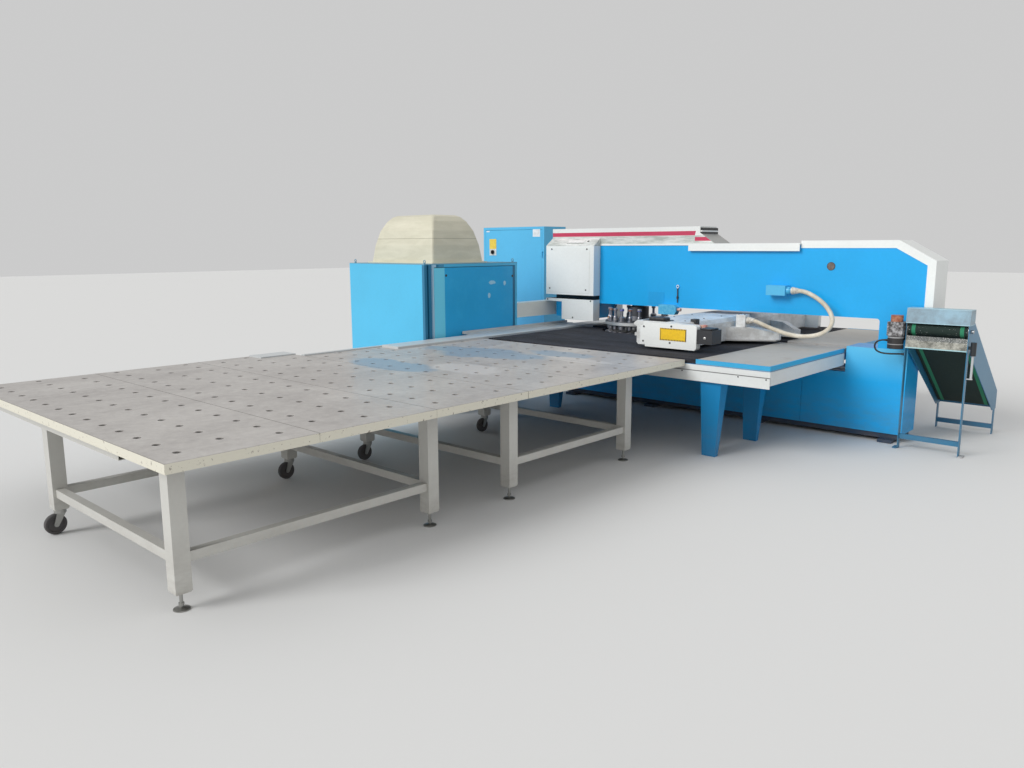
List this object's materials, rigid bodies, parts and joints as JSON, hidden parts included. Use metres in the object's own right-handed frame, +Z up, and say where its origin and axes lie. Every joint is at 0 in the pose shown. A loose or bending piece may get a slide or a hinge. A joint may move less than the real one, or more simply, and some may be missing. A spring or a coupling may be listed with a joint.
{
  "type": "cnc turret punch press",
  "caption": "C-frame turret punch press: arm with ram and turret over brush tables, clamp carriage on a sliding cross beam, loading table, cabinets and slug conveyor.",
  "frame": {"origin": "floor point under the punch axis, on the frame's middle plane, at the underside of the second levelling pad", "axes": "+X from the punch axis along the arm to the closed back of the throat, +Y across the frame away from the loading table, +Z up"},
  "size_m": [7.114, 9.216, 2.44],
  "materials": {
    "frame_blue": "smooth gloss enamel",
    "plinth_blue": "satin enamel",
    "cover_white": "smooth satin powder coat",
    "cylinder_grey": "satin enamel",
    "ram_chrome": "hard chrome, polished",
    "turret_steel": "blackened steel",
    "tool_steel": "ground steel",
    "die_steel": "ground steel",
    "brush_black": "nylon tufts",
    "glide_grey": "worn grey sheet",
    "trim_blue": "satin enamel",
    "leg_blue": "satin enamel",
    "rail_steel": "ground steel",
    "saddle_grey": "painted casting",
    "beam_grey": "satin enamel",
    "servo_black": "satin enamel",
    "hose_cream": "corrugated plastic",
    "cabinet_blue": "fine-textured powder coat",
    "panel_blue": "scuffed powder coat",
    "carriage_black": "satin enamel",
    "deck_grey": "worn enamel",
    "strip_grey": "mill finish",
    "stand_white": "satin enamel",
    "zinc": "zinc plated",
    "wheel_grey": "solid tread",
    "unit_grey": "satin enamel",
    "hood_beige": "moulded shell, satin",
    "switch_black": "moulded plastic",
    "duct_grey": "satin enamel",
    "conveyor_blue": "satin enamel",
    "hood_steel": "satin enamel",
    "belt_green": "rubber belt",
    "cable_black": "sheathed cable"
  },
  "bodies": {
    "press": {"c_frame": "frame_blue", "base_panels": "frame_blue", "plinth": "plinth_blue", "rim_cover": "cover_white", "edge_channels": "cover_white", "top_hood": "cover_white", "head_cover_upper": "cover_white", "head_cover_lower": "cover_white", "head_panels": "cover_white", "ram_cylinder": "cylinder_grey", "brush_beds": "brush_black", "glide_plates": "glide_grey", "table_trim": "trim_blue", "table_skirts": "cover_white", "table_frames": "leg_blue", "table_legs": "leg_blue", "guide_rails": "rail_steel", "conduit": "hose_cream", "conduit_box": "cabinet_blue", "arm_fittings": "frame_blue", "deck_panels": "deck_grey", "edge_strips": "strip_grey", "support_frames": "stand_white", "levelling_feet": "zinc", "hydraulic_cabinet": "cabinet_blue", "hydraulic_panel": "panel_blue", "power_unit": "unit_grey", "sound_hood": "hood_beige", "electric_cabinet": "cabinet_blue", "cable_duct": "duct_grey", "conveyor_frame": "conveyor_blue", "conveyor_hood": "hood_steel", "conveyor_belt": "belt_green", "gear_motor": "servo_black", "motor_cable": "cable_black"},
    "beam": {"saddle": "saddle_grey", "cross_beam": "beam_grey", "beam_end_covers": "cover_white", "servo_box": "servo_black", "brace_arms": "beam_grey"},
    "carriage": {"clamp_carriage": "carriage_black"},
    "jaws": {"clamp_jaws": "tool_steel"},
    "punch_turret": {"upper_turret": "turret_steel", "punch_holders": "tool_steel"},
    "punch": {"active_punch": "tool_steel"},
    "die_turret": {"lower_turret": "die_steel", "dies": "tool_steel"},
    "ram": {"ram": "ram_chrome"},
    "electric_door": {"electric_door": "cabinet_blue"},
    "main_switch": {"main_switch": "switch_black"},
    "head_drum": {"head_drum": "rail_steel"},
    "fork_1": {"caster_fork_1": "zinc"},
    "wheel_1": {"caster_wheel_1": "wheel_grey"},
    "fork_2": {"caster_fork_2": "zinc"},
    "wheel_2": {"caster_wheel_2": "wheel_grey"},
    "fork_3": {"caster_fork_3": "zinc"},
    "wheel_3": {"caster_wheel_3": "wheel_grey"},
    "fork_4": {"caster_fork_4": "zinc"},
    "wheel_4": {"caster_wheel_4": "wheel_grey"}
  },
  "joints": [
    {"name": "beam_slide", "type": "slide", "parent": "press", "child": "beam", "axis": [1, 0, 0], "range_m": [-0.095, 0.95], "deforming": ["conduit"]},
    {"name": "carriage_slide", "type": "slide", "parent": "beam", "child": "carriage", "axis": [0, 1, 0], "range_m": [-0.53, 1.03]},
    {"name": "jaw_swing", "type": "hinge", "parent": "carriage", "child": "jaws", "pos_m": [0.43, -0.25, 1.045], "axis": [0, 1, 0], "range_deg": [-4, 10]},
    {"name": "turret_turn", "type": "hinge", "parent": "press", "child": "punch_turret", "pos_m": [-0.37, 0, 1], "axis": [0, 0, 1], "continuous": true},
    {"name": "die_turret_turn", "type": "hinge", "parent": "press", "child": "die_turret", "pos_m": [-0.37, 0, 0.9], "axis": [0, 0, 1], "continuous": true},
    {"name": "ram_stroke", "type": "slide", "parent": "press", "child": "ram", "axis": [0, 0, -1], "range_m": [0, 0.037]},
    {"name": "punch_stroke", "type": "slide", "parent": "punch_turret", "child": "punch", "axis": [0, 0, -1], "range_m": [0, 0.037]},
    {"name": "electric_door_hinge", "type": "hinge", "parent": "press", "child": "electric_door", "pos_m": [-2.205, 0.191, 1.2], "axis": [0, 0, 1], "range_deg": [0, 75]},
    {"name": "main_switch_turn", "type": "hinge", "parent": "electric_door", "child": "main_switch", "pos_m": [-3.208, 0.2, 1.956], "axis": [0, 1, 0], "range_deg": [0, 90]},
    {"name": "head_drum_turn", "type": "hinge", "parent": "press", "child": "head_drum", "pos_m": [3.355, -0.33, 1.225], "axis": [1, 0, 0], "continuous": true},
    {"name": "caster_swivel_1", "type": "hinge", "parent": "press", "child": "fork_1", "pos_m": [-0.62, -7.05, 0.165], "axis": [0, 0, 1], "continuous": true},
    {"name": "caster_roll_1", "type": "hinge", "parent": "fork_1", "child": "wheel_1", "pos_m": [-0.62, -7.088, 0.075], "axis": [1, 0, 0], "continuous": true},
    {"name": "caster_swivel_2", "type": "hinge", "parent": "press", "child": "fork_2", "pos_m": [-0.62, -5.15, 0.165], "axis": [0, 0, 1], "continuous": true},
    {"name": "caster_roll_2", "type": "hinge", "parent": "fork_2", "child": "wheel_2", "pos_m": [-0.62, -5.188, 0.075], "axis": [1, 0, 0], "continuous": true},
    {"name": "caster_swivel_3", "type": "hinge", "parent": "press", "child": "fork_3", "pos_m": [-0.62, -4.28, 0.165], "axis": [0, 0, 1], "continuous": true},
    {"name": "caster_roll_3", "type": "hinge", "parent": "fork_3", "child": "wheel_3", "pos_m": [-0.62, -4.318, 0.075], "axis": [1, 0, 0], "continuous": true},
    {"name": "caster_swivel_4", "type": "hinge", "parent": "press", "child": "fork_4", "pos_m": [-0.62, -2.653, 0.165], "axis": [0, 0, 1], "continuous": true},
    {"name": "caster_roll_4", "type": "hinge", "parent": "fork_4", "child": "wheel_4", "pos_m": [-0.62, -2.691, 0.075], "axis": [1, 0, 0], "continuous": true}
  ],
  "couplings": [
    {"joint": "die_turret_turn", "follows": "turret_turn", "ratio": 1},
    {"joint": "punch_stroke", "follows": "ram_stroke", "ratio": 1}
  ]
}
